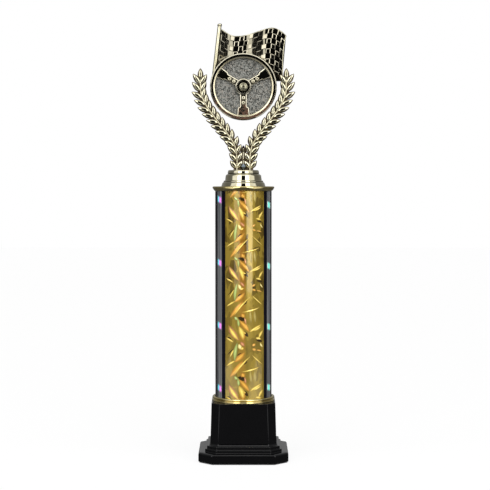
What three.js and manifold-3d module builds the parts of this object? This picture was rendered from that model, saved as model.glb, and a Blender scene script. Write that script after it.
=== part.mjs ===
// Column trophy. A motor-sport topper (laurels, steering wheel, chequered flag) stands on a riser
// and a foil-wrapped column over a stepped base, and one tie rod clamps the stack together.
// Millimetres, +Z up. The front faces -Y and the origin is the centre of the underside.

import * as THREE from 'three';
import { ConvexGeometry } from 'three/addons/geometries/ConvexGeometry.js';
import { mergeVertices } from 'three/addons/utils/BufferGeometryUtils.js';
import Module from 'manifold-3d';

const wasm = await Module();
wasm.setup();

// ---------------------------------------------------------------- driving dimensions

// Free room between pieces that touch or nearly touch.
const gap = 0.1;
const sides = 48;

// The base is square with cut corners. "half" is half its width, "face" half its front edge.
const pad = { half: 38.6, face: 27.2, top: 1.0 };
const slab = { half: 39.4, face: 27.7, edge: 7.4, top: 9.1, topHalf: 36.05, topFace: 25.1 };
const lowStep = { half: 33.6, face: 23.9, top: 11.6 };
const highStep = { half: 31.9, face: 23.4, top: 14.2 };
const plinth = { half: 29.0, face: 22.1, bottom: 15.9, topHalf: 28.0, topFace: 20.9, top: 51.4 };
const baseWall = 2.2;
const slabWallTop = 6.1;

const rod = { radius: 2.9, bottom: 4.5, top: 254.4, clearance: 3.4 };
const nut = { corner: 5.77, bore: 3.0, height: 5.0 };
const washer = { radius: 8.0, bore: 3.3, height: 1.5 };

const column = { radius: 25.0, film: 0.4, wall: 2.0, bottom: 53.2, top: 237.1 };
const foot = { bottom: plinth.top, flange: 28.0, groove: 26.7, lip: 27.6, top: 55.3 };
const cap = { bottomRadius: 25.4, topRadius: 27.3, top: 241.2, plug: 6.0 };

const riser = { bottom: cap.top + 0.05, top: 252.1, bottomRadius: 19.5, hole: 8.0 };
const topperFoot = { bottom: riser.top + 0.05, top: 255.6, radius: 13.8, boss: 7.5, bossEnd: 248.3 };
const insert = { bottom: 248.4 };

// The topper stands in one upright plane: y = 0 is the middle of its thickness.
const wheel = { z: 328.8, outer: 29.4, inner: 26.1, hub: 7.0, button: 3.8 };
const spoke = { width: 5.6, padStart: 17.2, sidePad: 9.6, lowPad: 11.0, front: -2.9, back: -1.1 };
const bolt = { radius: 1.8, rings: [9.7, 14.0] };
const leafSize = { width: 4.9, back: 1.4, edge: -1.0, ridge: -2.8 };
const leafRow = { pairs: 14, first: 0.025, last: 0.957, footSplay: 44, tipSplay: 36, innerSplay: -33 };
const endLeaf = { length: 10.6, overlap: 0.4 };
const pole = { radius: 1.9, top: 385.0, topX: -20.8, bottom: 326.0, lean: 0.113, y: 3.9 };
const flag = { thickness: 1.3, startY: 5.45, slope: 0.38, bottom: 334.0, freeShift: 3.4 };
const flagTurns = { back: [-16.0, -5.5], forward: [-1.5, 10.0], level: [17.5, 20.0] };

// Centre line of the left laurel branch, from the foot to the base of its last leaf.
const branchLine = new THREE.CatmullRomCurve3([
  new THREE.Vector3(-5.8, 0, 255.0),
  new THREE.Vector3(-5.7, 0, 265.0),
  new THREE.Vector3(-7.8, 0, 277.0),
  new THREE.Vector3(-14.5, 0, 288.0),
  new THREE.Vector3(-24.0, 0, 300.0),
  new THREE.Vector3(-32.5, 0, 311.8),
  new THREE.Vector3(-37.2, 0, 322.5),
  new THREE.Vector3(-37.9, 0, 335.2),
]);

// Upper edge of the flag, from the pole to the free corner.
const flagTop = new THREE.CatmullRomCurve3([
  new THREE.Vector3(-19.1, 0, 379.8),
  new THREE.Vector3(-11.0, 0, 374.9),
  new THREE.Vector3(-4.5, 0, 374.1),
  new THREE.Vector3(4.0, 0, 375.3),
  new THREE.Vector3(14.2, 0, 378.3),
  new THREE.Vector3(25.5, 0, 380.9),
  new THREE.Vector3(33.5, 0, 377.9),
  new THREE.Vector3(37.7, 0, 374.2),
]);

// ---------------------------------------------------------------- materials

function finish(color, roughness, metalness) {
  return new THREE.MeshStandardMaterial({ color, roughness, metalness });
}

const blackGloss = finish(0x0b0b0d, 0.12, 0.0);
const felt = finish(0x1c1c1e, 0.95, 0.0);
const board = finish(0x6b5a44, 0.8, 0.0);
const ballast = finish(0x6d6d6b, 0.85, 0.0);
const steel = finish(0xa8abad, 0.35, 1.0);
const clearPlastic = finish(0x2b2b2d, 0.4, 0.0);
const goldFoil = finish(0xb59a3c, 0.22, 0.9);
const goldPlastic = finish(0x8f7d3a, 0.25, 1.0);
const paleGold = finish(0xcfc8a4, 0.15, 1.0);
const darkChrome = finish(0x3a3632, 0.15, 1.0);
const glitter = finish(0x8b8a88, 0.55, 0.7);

// ---------------------------------------------------------------- shape helpers

function signedVolume(position, index) {
  const [a, b, c] = [new THREE.Vector3(), new THREE.Vector3(), new THREE.Vector3()];
  let volume = 0;
  for (let i = 0; i < index.length; i += 3) {
    a.fromBufferAttribute(position, index[i]);
    b.fromBufferAttribute(position, index[i + 1]);
    c.fromBufferAttribute(position, index[i + 2]);
    volume += a.dot(b.cross(c)) / 6;
  }
  return volume;
}

// One closed body: shared vertices, no empty triangles, and its faces pointing out.
function closed(geometry) {
  geometry.deleteAttribute('normal');
  geometry.deleteAttribute('uv');
  const merged = mergeVertices(geometry, 1e-4);
  const old = merged.index.array;
  const kept = [];
  for (let i = 0; i < old.length; i += 3) {
    const [a, b, c] = [old[i], old[i + 1], old[i + 2]];
    if (a !== b && b !== c && c !== a) kept.push(a, b, c);
  }
  if (signedVolume(merged.attributes.position, kept) < 0) kept.reverse();
  merged.setIndex(kept);
  return merged;
}

function solid(geometry) {
  const body = closed(geometry);
  const vertProperties = new Float32Array(body.attributes.position.array);
  const triVerts = new Uint32Array(body.index.array);
  return new wasm.Manifold(new wasm.Mesh({ numProp: 3, vertProperties, triVerts }));
}

function surface(manifold) {
  const mesh = manifold.getMesh();
  const geometry = new THREE.BufferGeometry();
  geometry.setAttribute('position', new THREE.BufferAttribute(mesh.vertProperties, 3));
  geometry.setIndex(new THREE.BufferAttribute(mesh.triVerts, 1));
  return geometry;
}

// Turned about the upright axis, from a profile of [radius, z].
function turned(profile, segments = sides) {
  const points = profile.map(([radius, z]) => new THREE.Vector2(radius, z));
  return closed(new THREE.LatheGeometry(points, segments).rotateX(Math.PI / 2));
}

// Turned about the wheel's axis, which runs front to back, from a profile of [radius, y].
function turnedOnWheel(profile, segments = sides) {
  const points = profile.map(([radius, y]) => new THREE.Vector2(radius, y));
  return closed(new THREE.LatheGeometry(points, segments));
}

function tube(outer, inner, bottom, top, segments = sides) {
  const profile = [[inner, bottom], [outer, bottom], [outer, top], [inner, top], [inner, bottom]];
  return turned(profile, segments);
}

function rodShape(radius, bottom, top, segments = sides) {
  return turned([[0, bottom], [radius, bottom], [radius, top], [0, top]], segments);
}

// A square with cut corners, as eight points at one height.
function octagon(half, face, z) {
  const corners = [[face, -half], [half, -face], [half, face], [face, half]];
  const opposite = corners.map(([x, y]) => [-x, -y]);
  return [...corners, ...opposite].map(([x, y]) => new THREE.Vector3(x, y, z));
}

// Skin over a row of loops with equal point counts. A ring joins its last loop to its first.
function loft(loops, ring = false) {
  const count = loops[0].length;
  const index = [];
  const spans = ring ? loops.length : loops.length - 1;
  for (let i = 0; i < spans; i++) {
    const next = (i + 1) % loops.length;
    for (let j = 0; j < count; j++) {
      const k = (j + 1) % count;
      const [a, b, c, d] = [i * count + j, i * count + k, next * count + k, next * count + j];
      index.push(a, b, c, a, c, d);
    }
  }
  const last = (loops.length - 1) * count;
  for (let j = 1; j < count - 1 && !ring; j++) {
    index.push(0, j + 1, j);
    index.push(last, last + j, last + j + 1);
  }
  const geometry = new THREE.BufferGeometry().setFromPoints(loops.flat());
  geometry.setIndex(index);
  return closed(geometry);
}

// A flat outline in the XZ plane, given as [x, z] points, made solid from y = back to y = front.
function upright(outline, front, back) {
  const shape = new THREE.Shape(outline.map(([x, z]) => new THREE.Vector2(x, z)));
  const depth = back - front;
  const geometry = new THREE.ExtrudeGeometry(shape, { depth, bevelEnabled: false });
  return closed(geometry.rotateX(Math.PI / 2).translate(0, back, 0));
}

const trophy = new THREE.Group();

function add(name, geometry, material) {
  const mesh = new THREE.Mesh(geometry, material);
  mesh.name = name;
  trophy.add(mesh);
  return mesh;
}

// ---------------------------------------------------------------- base

function roundedSlabEdge() {
  const loops = [];
  for (const degrees of [0, 30, 60, 90]) {
    const turn = THREE.MathUtils.degToRad(degrees);
    const inward = Math.cos(turn);
    const half = slab.topHalf + (slab.half - slab.topHalf) * inward;
    const face = slab.topFace + (slab.face - slab.topFace) * inward;
    loops.push(octagon(half, face, slab.edge + (slab.top - slab.edge) * Math.sin(turn)));
  }
  return loops;
}

// The moulding is open below. The loops run up the outside, through the rod hole and down inside.
function baseShell() {
  const hole = rod.clearance;
  const holeFace = hole * Math.tan(Math.PI / 8);
  const w = baseWall;
  return loft([
    octagon(slab.half, slab.face, pad.top),
    ...roundedSlabEdge(),
    octagon(lowStep.half, lowStep.face, slab.top),
    octagon(lowStep.half, lowStep.face, lowStep.top),
    octagon(highStep.half, highStep.face, lowStep.top),
    octagon(highStep.half, highStep.face, highStep.top),
    octagon(plinth.half + 1.2, plinth.face + 0.7, highStep.top),
    octagon(plinth.half, plinth.face, plinth.bottom),
    octagon(plinth.topHalf, plinth.topFace, plinth.top),
    octagon(hole, holeFace, plinth.top),
    octagon(hole, holeFace, plinth.top - w),
    octagon(plinth.topHalf - w, plinth.topFace - w, plinth.top - w),
    octagon(plinth.half - w, plinth.face - w, plinth.bottom),
    octagon(highStep.half - w, highStep.face - w, lowStep.top),
    octagon(lowStep.half - w, lowStep.face - w, slab.top),
    octagon(slab.half - w, slab.face - w, slabWallTop),
    octagon(slab.half - w, slab.face - w, pad.top),
  ], true);
}

const bottomPlate = { inset: baseWall + 0.4, top: 3.0 };
const nutPocket = { radius: 9.2, top: 13.0 };

function baseWeight() {
  const w = baseWall + 0.8;
  const block = loft([
    octagon(slab.half - w, slab.face - w, bottomPlate.top + gap),
    octagon(slab.half - w, slab.face - w, slabWallTop - 0.7),
    octagon(lowStep.half - w, lowStep.face - w, slab.top - 0.8),
    octagon(highStep.half - w, highStep.face - w, lowStep.top - 0.4),
    octagon(plinth.half - w, plinth.face - w, plinth.bottom),
    octagon(plinth.topHalf - w, plinth.topFace - w, plinth.top - w),
  ]);
  const pocket = rodShape(nutPocket.radius, 0, nutPocket.top, 32);
  const hole = rodShape(rod.clearance, 0, plinth.top, 24);
  return surface(solid(block).subtract(solid(pocket)).subtract(solid(hole)));
}

function octagonPlate(half, face, bottom, top) {
  return loft([octagon(half, face, bottom), octagon(half, face, top)]);
}

function washerShape(bottom) {
  return tube(washer.radius, washer.bore, bottom, bottom + washer.height, 32);
}

// A hexagon nut. The bore has six sides too, and its flats clear the rod.
function nutShape(bottom) {
  const bore = nut.bore / Math.cos(Math.PI / 6);
  return tube(nut.corner, bore, bottom, bottom + nut.height, 6);
}

const plateHalf = slab.half - bottomPlate.inset;
const plateFace = slab.face - bottomPlate.inset;
const lowWasherBottom = nutPocket.top - gap - washer.height;
const lowNutBottom = lowWasherBottom - gap - nut.height;

add('felt_pad', octagonPlate(pad.half, pad.face, 0, pad.top), felt);
add('bottom_plate', octagonPlate(plateHalf, plateFace, pad.top, bottomPlate.top), board);
add('base_shell', baseShell(), blackGloss);
add('base_weight', baseWeight(), ballast);
add('lower_washer', washerShape(lowWasherBottom), steel);
add('lower_nut', nutShape(lowNutBottom), steel);
add('tie_rod', rodShape(rod.radius, rod.bottom, rod.top, 16), steel);

// ---------------------------------------------------------------- column

function footRing() {
  const hole = rod.clearance;
  const seat = column.radius + 0.3;
  const floor = column.bottom - gap;
  return turned([
    [hole, foot.bottom], [foot.flange, foot.bottom], [foot.flange, 52.3], [foot.groove, 52.5],
    [foot.groove, 53.3], [foot.lip, 53.9], [foot.lip, 54.6], [26.6, foot.top], [seat, foot.top],
    [seat, floor], [hole, floor], [hole, foot.bottom],
  ]);
}

function columnCap() {
  const plugOuter = column.radius - column.film - column.wall - 0.3;
  const plugInner = plugOuter - 1.8;
  const hole = rod.clearance;
  const roof = column.top + 1.6;
  const rim = cap.topRadius;
  return turned([
    [hole, cap.top], [rim - 0.4, cap.top], [rim, cap.top - 0.4], [rim - 0.1, cap.top - 1.0],
    [rim - 1.0, column.top + 1.5], [cap.bottomRadius, column.top], [plugOuter, column.top],
    [plugOuter, column.top - cap.plug], [plugInner, column.top - cap.plug], [plugInner, roof],
    [hole, roof], [hole, cap.top],
  ]);
}

const tubeOuter = column.radius - column.film - gap;
const tubeInner = column.radius - column.film - column.wall;
const filmInner = column.radius - column.film;
const columnEnd = column.top - gap;

add('foot_ring', footRing(), goldPlastic);
add('column_tube', tube(tubeOuter, tubeInner, column.bottom, columnEnd), clearPlastic);
add('column_film', tube(column.radius, filmInner, column.bottom, columnEnd), goldFoil);
add('column_cap', columnCap(), goldPlastic);
add('upper_washer', washerShape(cap.top + gap), steel);
add('upper_nut', nutShape(cap.top + washer.height + 2 * gap), steel);

// ---------------------------------------------------------------- riser and topper foot

// A bell in two tiers with a bead between them, hollow below. Each tier is [radius, z].
const bell = { foot: [18.6, 243.4], groove: [17.2, 245.1], bead: [17.4, 246.0], waist: [16.2, 247.1] };
const bellTop = { shoulder: [15.7, 250.2], radius: 14.3, roof: 1.6 };
const bellInside = { top: 13.0, waist: [14.3, 247.0], bottom: 17.6 };

function topperRiser() {
  const [low, high] = [riser.bottom, riser.top];
  const ceiling = high - bellTop.roof;
  return turned([
    [riser.bottomRadius, low], bell.foot, bell.groove, bell.bead, bell.waist,
    bellTop.shoulder, [bellTop.radius, high], [riser.hole, high], [riser.hole, ceiling],
    [bellInside.top, ceiling], bellInside.waist, [bellInside.bottom, low],
    [riser.bottomRadius, low],
  ]);
}

function footSolid() {
  const r = topperFoot.radius;
  const [low, high] = [topperFoot.bottom, topperFoot.top];
  const outside = turned([
    [0, topperFoot.bossEnd], [topperFoot.boss, topperFoot.bossEnd], [topperFoot.boss, low],
    [r - 1.4, low], [r, low + 1.1], [r, high - 0.7], [r - 0.6, high], [0, high],
  ]);
  const pocketTop = insert.bottom + nut.height + gap;
  const pocket = rodShape(nut.corner + 0.2, topperFoot.bossEnd - 1, pocketTop, 6);
  const hole = rodShape(rod.clearance, topperFoot.bossEnd - 1, rod.top + 0.3, 24);
  return surface(solid(outside).subtract(solid(pocket)).subtract(solid(hole)));
}

add('topper_riser', topperRiser(), paleGold);
add('topper_foot', footSolid(), paleGold);
add('insert_nut', nutShape(insert.bottom), steel);

// ---------------------------------------------------------------- laurels

// A pointed leaf from its base at (x, z), lying along "angle" in the XZ plane, with a raised rib.
function leaf(x, z, angle, length, width, side) {
  const outline = [[0, 0.16], [0.3, 0.46], [0.68, 0.4], [1, 0]];
  const [along, across] = [[Math.cos(angle), Math.sin(angle)], [-Math.sin(angle), Math.cos(angle)]];
  const place = (u, v, y) => new THREE.Vector3(
    side * (x + u * length * along[0] + v * width * across[0]),
    y,
    z + u * length * along[1] + v * width * across[1],
  );
  const points = [];
  for (const [u, v] of outline) {
    for (const y of [leafSize.edge, leafSize.back]) points.push(place(u, v, y), place(u, -v, y));
  }
  points.push(place(0.3, 0, leafSize.ridge), place(0.65, 0, leafSize.ridge));
  return solid(new ConvexGeometry(points));
}

function twig(from, to, side) {
  const half = 1.8;
  const points = [];
  for (const end of [from, to]) {
    for (const x of [end.x - half, end.x + half]) {
      for (const y of [leafSize.edge, leafSize.back]) {
        points.push(new THREE.Vector3(side * x, y, end.z - half), new THREE.Vector3(side * x, y, end.z));
      }
    }
  }
  return solid(new ConvexGeometry(points));
}

// The beaded rib between the branches: "grow" makes the larger shape that clears it.
function tieShape(grow) {
  const bead = (z, wide, high, front) => solid(new ConvexGeometry([
    new THREE.Vector3(-wide - grow, 0, z), new THREE.Vector3(wide + grow, 0, z),
    new THREE.Vector3(0, 0, z - high - grow), new THREE.Vector3(0, 0, z + high + grow),
    new THREE.Vector3(0, front - grow, z), new THREE.Vector3(0, 1 + grow, z),
  ]));
  const [low, high] = [topperFoot.top + 0.15 - grow, 275.0 + grow];
  const half = 0.6 + grow;
  const rib = upright([[-half, low], [half, low], [half, high], [-half, high]], -1 - grow, 1 + grow);
  return solid(rib)
    .add(bead(topperFoot.top + 3.1, 2.0, 2.9, -3.4))
    .add(bead(265.0, 1.1, 1.3, -2.2))
    .add(bead(273.0, 1.1, 1.8, -2.2));
}

function cutters() {
  const disc = [[0, -20], [wheel.outer + 0.3, -20], [wheel.outer + 0.3, 20], [0, 20]];
  const wheelRoom = turnedOnWheel(disc).translate(0, 0, wheel.z);
  const floor = topperFoot.top + gap;
  const below = upright([[-60, 200], [60, 200], [60, floor], [-60, floor]], -20, 20);
  const otherSide = upright([[-0.2, 200], [0.2, 200], [0.2, 300], [-0.2, 300]], -20, 20);
  return [wheelRoom, below, otherSide].map(solid).concat(tieShape(0.15));
}

function laurel(side) {
  const parts = [];
  const steps = 18;
  for (let i = 0; i < steps; i++) {
    parts.push(twig(branchLine.getPointAt(i / steps), branchLine.getPointAt((i + 1) / steps), side));
  }
  const { pairs, first, last, footSplay, tipSplay, innerSplay } = leafRow;
  for (let i = 0; i < pairs; i++) {
    const t = first + (last - first) * i / (pairs - 1);
    const at = branchLine.getPointAt(t);
    const tangent = branchLine.getTangentAt(t);
    const angle = Math.atan2(tangent.z, tangent.x);
    const outer = angle + THREE.MathUtils.degToRad(THREE.MathUtils.lerp(footSplay, tipSplay, t));
    const inner = angle + THREE.MathUtils.degToRad(innerSplay);
    const swell = Math.sin(0.5 * Math.PI * Math.min(1, 2.2 * t + 0.15));
    parts.push(leaf(at.x, at.z, outer, 8.2 + 3.2 * swell, leafSize.width, side));
    parts.push(leaf(at.x, at.z, inner, 7.8 + 2.4 * swell, leafSize.width, side));
  }
  const end = branchLine.getPointAt(1);
  parts.push(leaf(end.x, end.z - endLeaf.overlap, Math.PI / 2, endLeaf.length, leafSize.width, side));
  const branch = parts.reduce((whole, part) => whole.add(part));
  return surface(cutters().reduce((whole, cutter) => whole.subtract(cutter), branch));
}

add('laurel_left', laurel(1), paleGold);
add('laurel_right', laurel(-1), paleGold);
add('wreath_tie', surface(tieShape(0)), paleGold);

// ---------------------------------------------------------------- flag

function flagPole() {
  const length = (pole.top - pole.bottom) * Math.hypot(1, pole.lean);
  const r = pole.radius;
  const shape = turned([
    [0, -length], [r, -length], [r, -2.2], [r + 0.2, -1.6], [r - 0.1, -0.7], [r - 0.9, -0.1], [0, 0],
  ], 24);
  return shape.rotateY(Math.atan(pole.lean)).translate(pole.topX, pole.y, pole.top);
}

// How far a slope of 1 has carried by x, when the slope comes in smoothly from start to end.
function bend(x, [start, end]) {
  const share = THREE.MathUtils.clamp((x - start) / (end - start), 0, 1);
  return (end - start) * (share ** 3 - share ** 4 / 2) + Math.max(0, x - end);
}

// Depth of the cloth's middle surface: back from the pole, level, forward again, then level.
function flagDepth(x) {
  const run = x - flagTop.points[0].x;
  const turns = bend(x, flagTurns.level) - bend(x, flagTurns.back) - bend(x, flagTurns.forward);
  return flag.startY + flag.slope * (run + turns);
}

// Where the cloth is, u along its length and v down its height.
function flagPoint(u, v, offset) {
  const top = flagTop.getPointAt(u);
  const drop = v * (top.z - flag.bottom);
  const poleShift = -drop * pole.lean;
  const freeShift = -flag.freeShift * (1 - Math.exp(-drop / 11));
  const x = top.x + (1 - u) * poleShift + u * freeShift;
  return new THREE.Vector3(x, flagDepth(x) + offset, top.z - drop);
}

function flagCloth() {
  const [across, down] = [24, 5];
  const half = flag.thickness / 2;
  const loops = [];
  for (let i = 0; i <= across; i++) {
    const loop = [];
    for (let j = 0; j <= down; j++) loop.push(flagPoint(i / across, j / down, -half));
    for (let j = down; j >= 0; j--) loop.push(flagPoint(i / across, j / down, half));
    loops.push(loop);
  }
  return loft(loops);
}

add('flag_pole', flagPole(), paleGold);
add('checkered_flag', flagCloth(), darkChrome);

// ---------------------------------------------------------------- steering wheel

function disc(radius, front, back, segments = sides) {
  return turnedOnWheel([[0, front], [radius, front], [radius, back], [0, back]], segments);
}

function wheelRim() {
  const [i, o] = [wheel.inner, wheel.outer];
  return turnedOnWheel([
    [i, 0.1], [i, -3.0], [i + 0.9, -3.0], [i + 1.3, -4.4], [i + 2.1, -5.0],
    [o - 0.5, -4.4], [o, -2.8], [o, 0.1], [i, 0.1],
  ], 64);
}

// One arm, as [distance from the centre, distance from the arm's middle line].
function armOutline(padWidth) {
  const end = wheel.inner - 0.3;
  const half = padWidth / 2;
  return [
    [4.5, spoke.width / 2], [spoke.padStart, spoke.width / 2], [spoke.padStart + 1.3, half * 0.82],
    [end * 0.86, half * 0.94], [Math.sqrt(end * end - half * half), half],
  ];
}

function wheelSpokes() {
  const outline = [];
  for (const [degrees, padWidth] of [[30, spoke.sidePad], [150, spoke.sidePad], [270, spoke.lowPad]]) {
    const turn = THREE.MathUtils.degToRad(degrees);
    const [c, s] = [Math.cos(turn), Math.sin(turn)];
    const arm = armOutline(padWidth);
    for (const [far, off] of arm) outline.push([far * c + off * s, far * s - off * c]);
    for (const [far, off] of arm.toReversed()) outline.push([far * c - off * s, far * s + off * c]);
  }
  return upright(outline, spoke.front, spoke.back);
}

function boltHead() {
  const [r, seat] = [bolt.radius, spoke.front - gap];
  const profile = [[0, seat], [r, seat], [r, seat - 0.3], [r * 0.72, seat - 0.85], [0, seat - 1.0]];
  return turnedOnWheel(profile, 16);
}

const hubSeat = spoke.front - gap;
const hubProfile = [
  [5.6, hubSeat], [5.6, hubSeat - 0.9], [6.3, hubSeat - 1.5], [wheel.hub, hubSeat - 0.9],
  [wheel.hub, hubSeat], [5.6, hubSeat],
];
const buttonProfile = [
  [0, hubSeat], [wheel.button, hubSeat], [wheel.button, hubSeat - 0.7],
  [wheel.button - 0.5, hubSeat - 1.2], [2.0, hubSeat - 1.5], [0, hubSeat - 1.7],
];

const wheelPieces = [
  ['wheel_backplate', disc(wheel.outer - 0.2, 0.3, 1.9), darkChrome],
  ['insert_disc', disc(wheel.inner - 0.3, -0.9, 0.2), glitter],
  ['wheel_rim', wheelRim(), darkChrome],
  ['wheel_spokes', wheelSpokes(), darkChrome],
  ['hub_ring', turnedOnWheel(hubProfile, 32), paleGold],
  ['horn_button', turnedOnWheel(buttonProfile, 32), paleGold],
];
for (const [name, geometry, material] of wheelPieces) {
  add(name, geometry, material).position.z = wheel.z;
}

let boltNumber = 0;
for (const degrees of [30, 150, 270]) {
  const turn = THREE.MathUtils.degToRad(degrees);
  for (const far of bolt.rings) {
    boltNumber += 1;
    const head = add(`spoke_bolt_${boltNumber}`, boltHead(), paleGold);
    head.position.set(far * Math.cos(turn), 0, wheel.z + far * Math.sin(turn));
  }
}

export default trophy;
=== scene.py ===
import math

import bmesh
import bpy
import numpy as np
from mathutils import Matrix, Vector


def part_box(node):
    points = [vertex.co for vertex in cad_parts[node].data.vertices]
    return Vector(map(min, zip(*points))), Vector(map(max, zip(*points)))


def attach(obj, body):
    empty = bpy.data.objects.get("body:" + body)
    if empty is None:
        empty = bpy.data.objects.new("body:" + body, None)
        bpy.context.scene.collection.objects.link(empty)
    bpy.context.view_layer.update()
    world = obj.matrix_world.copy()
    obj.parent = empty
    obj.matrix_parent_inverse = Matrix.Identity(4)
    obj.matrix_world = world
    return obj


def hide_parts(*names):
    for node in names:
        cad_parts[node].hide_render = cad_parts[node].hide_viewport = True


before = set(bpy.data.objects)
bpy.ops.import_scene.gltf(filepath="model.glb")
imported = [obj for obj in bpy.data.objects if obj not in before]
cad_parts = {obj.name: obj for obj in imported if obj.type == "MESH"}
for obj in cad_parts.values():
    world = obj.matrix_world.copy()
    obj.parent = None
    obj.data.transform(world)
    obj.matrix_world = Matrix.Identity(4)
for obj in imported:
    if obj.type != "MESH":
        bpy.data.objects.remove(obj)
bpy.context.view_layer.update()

MM = 0.001


def box_mm(node):
    """Lowest and highest corner of a CAD node, in millimetres."""
    low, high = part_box(node)
    return np.array(low) / MM, np.array(high) / MM


# ---------------- places read from the frame

FILM_LOW, FILM_HIGH = box_mm("column_film")
COLUMN_RADIUS = (FILM_HIGH[0] - FILM_LOW[0]) / 2
RIM_LOW, RIM_HIGH = box_mm("wheel_rim")
WHEEL_Z = (RIM_LOW[2] + RIM_HIGH[2]) / 2
WHEEL_RADIUS = (RIM_HIGH[2] - RIM_LOW[2]) / 2
CAP_LOW, CAP_HIGH = box_mm("column_cap")
RING_LOW, RING_HIGH = box_mm("foot_ring")
RISER_LOW, RISER_HIGH = box_mm("topper_riser")
FOOT_LOW, FOOT_HIGH = box_mm("topper_foot")
SHELL_LOW, SHELL_HIGH = box_mm("base_shell")
POLE_LOW, POLE_HIGH = box_mm("flag_pole")
SPOKES_LOW, SPOKES_HIGH = box_mm("wheel_spokes")


# ---------------- node graphs for materials

class Graph:
    """A material's node tree, with short calls for the nodes used here."""

    def __init__(self, tree):
        self.tree = tree

    def node(self, kind, **settings):
        made = self.tree.nodes.new(kind)
        for key, value in settings.items():
            setattr(made, key, value)
        return made

    def feed(self, socket, value):
        if isinstance(value, bpy.types.NodeSocket):
            self.tree.links.new(value, socket)
        elif value is not None:
            socket.default_value = value

    def shade(self, shader, **values):
        """Feed a shader's sockets, with _ for each space in their names."""
        for key, value in values.items():
            self.feed(shader.inputs[key.replace("_", " ")], value)

    def math(self, operation, a, b=None, c=None, clamp=False):
        made = self.node("ShaderNodeMath", operation=operation, use_clamp=clamp)
        for socket, value in zip(made.inputs, (a, b, c)):
            self.feed(socket, value)
        return made.outputs[0]

    def times(self, a, b):
        return self.math("MULTIPLY", a, b)

    def minus(self, a, b):
        return self.math("SUBTRACT", a, b)

    def mix(self, factor, a, b):
        """A blend of two colours, each of them a socket or (red, green, blue)."""
        made = self.node("ShaderNodeMix", data_type="RGBA")
        self.feed(made.inputs[0], factor)
        for socket, colour in zip(made.inputs[6:8], (a, b)):
            self.feed(socket, (*colour, 1) if isinstance(colour, tuple) else colour)
        return made.outputs[2]

    def split(self, value, kind="XYZ"):
        """The three parts of a vector, or of a colour if kind is Color."""
        made = self.node(f"ShaderNodeSeparate{kind}")
        self.feed(made.inputs[0], value)
        return made.outputs

    def between(self, factor, low, high):
        """low at factor 0 and high at factor 1."""
        made = self.node("ShaderNodeMapRange")
        for socket, value in zip(made.inputs, (factor, 0.0, 1.0, low, high)):
            self.feed(socket, value)
        return made.outputs[0]

    def step(self, value, start, end):
        """0 at start, 1 at end, smooth between them."""
        made = self.node("ShaderNodeMapRange", interpolation_type="SMOOTHSTEP")
        for socket, item in zip(made.inputs, (value, start, end, 0.0, 1.0)):
            self.feed(socket, item)
        return made.outputs[0]

    def place(self, stretch=(1, 1, 1)):
        """Object coordinates in millimetres, stretched."""
        coordinates = self.node("ShaderNodeTexCoord")
        mapping = self.node("ShaderNodeMapping")
        self.feed(mapping.inputs[0], coordinates.outputs["Object"])
        mapping.inputs["Scale"].default_value = [1000.0 * s for s in stretch]
        return mapping.outputs[0]

    def noise(self, vector, size, detail=2.0, rough=0.5):
        """Noise with features about that many millimetres across."""
        made = self.node("ShaderNodeTexNoise")
        self.feed(made.inputs["Vector"], vector)
        made.inputs["Scale"].default_value = 1.0 / size
        made.inputs["Detail"].default_value = detail
        made.inputs["Roughness"].default_value = rough
        return made.outputs[0]

    def cells(self, vector, size):
        """A random colour for each cell, with cells about that many millimetres across."""
        made = self.node("ShaderNodeTexVoronoi")
        self.feed(made.inputs["Vector"], vector)
        made.inputs["Scale"].default_value = 1.0 / size
        return made.outputs["Color"]

    def bump(self, height, strength, depth_mm):
        made = self.node("ShaderNodeBump")
        made.inputs["Strength"].default_value = strength
        made.inputs["Distance"].default_value = depth_mm * MM
        self.feed(made.inputs["Height"], height)
        return made.outputs[0]


def material(name, **fixed):
    """A material, its node graph, and its shader with some sockets set."""
    made = bpy.data.materials.new(name)
    made.use_nodes = True
    graph = Graph(made.node_tree)
    shader = made.node_tree.nodes["Principled BSDF"]
    graph.shade(shader, **fixed)
    return made, graph, shader


def plated(name, bright, dark, roughness):
    """Metallised plastic: mirror-like, with faint waviness, cloudy tone and fine rub marks."""
    made, graph, shader = material(name, Metallic=1.0)
    place = graph.place()
    tone = graph.noise(place, 9.0, detail=3.0)
    rubs = graph.noise(graph.place((0.4, 1.0, 3.0)), 1.2, detail=4.0, rough=0.65)
    graph.shade(
        shader,
        Base_Color=graph.mix(graph.step(tone, 0.3, 0.7), dark, bright),
        Roughness=graph.between(rubs, roughness * 0.7, roughness * 1.4),
        Normal=graph.bump(graph.noise(place, 6.0, detail=1.0), 0.03, 0.5),
    )
    return made


def wheel_plating():
    """The same plating, with a painted brown reflection in patches on its front faces over the lower
    part of the wheel.
    """
    made = plated("wheel_plating", (0.34, 0.32, 0.25), (0.27, 0.25, 0.19), 0.05)
    graph = Graph(made.node_tree)
    shader = made.node_tree.nodes["Principled BSDF"]
    coordinates = graph.node("ShaderNodeTexCoord")
    height = graph.split(coordinates.outputs["Object"])[2]
    facing = graph.split(coordinates.outputs["Normal"])[1]
    # Painted reflection: a warm brown on the lower front faces, broken into patches, with more
    # roughness there.
    low = graph.step(height, (WHEEL_Z - 6.0) * MM, (WHEEL_Z - 14.0) * MM)
    painted_reflection = graph.times(low, graph.step(facing, -0.95, -0.99))
    reflection_patches = graph.step(graph.noise(graph.place(), 3.0, detail=4.0, rough=0.7), 0.3, 0.6)
    painted_reflection = graph.times(painted_reflection, reflection_patches)
    plain, grain = (shader.inputs[key].links[0].from_socket for key in ("Base Color", "Roughness"))
    graph.shade(
        shader,
        Base_Color=graph.mix(painted_reflection, plain, (0.125, 0.062, 0.038)),
        Roughness=graph.math("MULTIPLY_ADD", painted_reflection, 0.3, grain),
    )
    return made


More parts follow.
